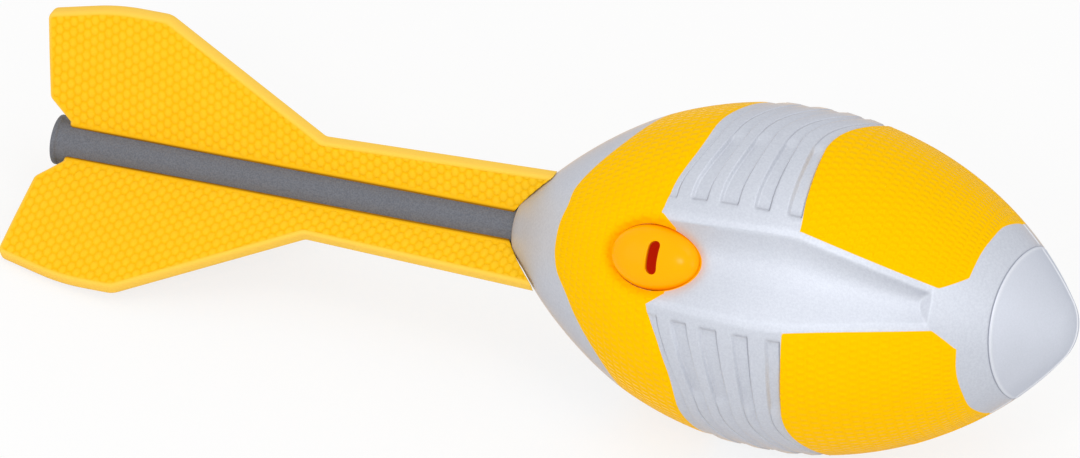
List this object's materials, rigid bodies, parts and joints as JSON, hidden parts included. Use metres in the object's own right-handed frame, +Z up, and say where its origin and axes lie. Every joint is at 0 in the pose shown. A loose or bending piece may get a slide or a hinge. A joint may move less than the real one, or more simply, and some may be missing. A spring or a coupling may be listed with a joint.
{
  "type": "throwing football",
  "caption": "Foam throwing football with fluted grip bands, slotted whistle domes, a tail tube and foam tail fins.",
  "frame": {"origin": "on the ball's axis, halfway between the nose tip and the fins' trailing edges", "axes": "+X along the axis towards the nose, +Z up through the top fin"},
  "size_m": [0.3255, 0.102, 0.102],
  "materials": {
    "foam_yellow": "yellow self-skinned foam with a fine scale texture, silver paint on the grip bands, flutes and collars",
    "silver_paint": "satin silver paint on smooth foam skin",
    "whistle_orange": "glossy orange moulding",
    "cup_orange": "deep orange-red moulding",
    "tube_grey": "mid-grey moulding with a fine grain",
    "plug_grey": "dark grey moulding",
    "anchor_natural": "unpainted natural plastic, hidden in the head",
    "fin_yellow": "yellow closed-cell foam with an even bump texture"
  },
  "bodies": {
    "root": {"head_foam": "foam_yellow", "nose_bumper": "silver_paint", "right_whistle_dome": "whistle_orange", "right_whistle_cup": "cup_orange", "left_whistle_dome": "whistle_orange", "left_whistle_cup": "cup_orange", "tail_tube": "tube_grey", "tail_plug": "plug_grey", "tube_anchor": "anchor_natural", "top_fin": "fin_yellow", "right_fin": "fin_yellow", "left_fin": "fin_yellow"}
  },
  "joints": []
}
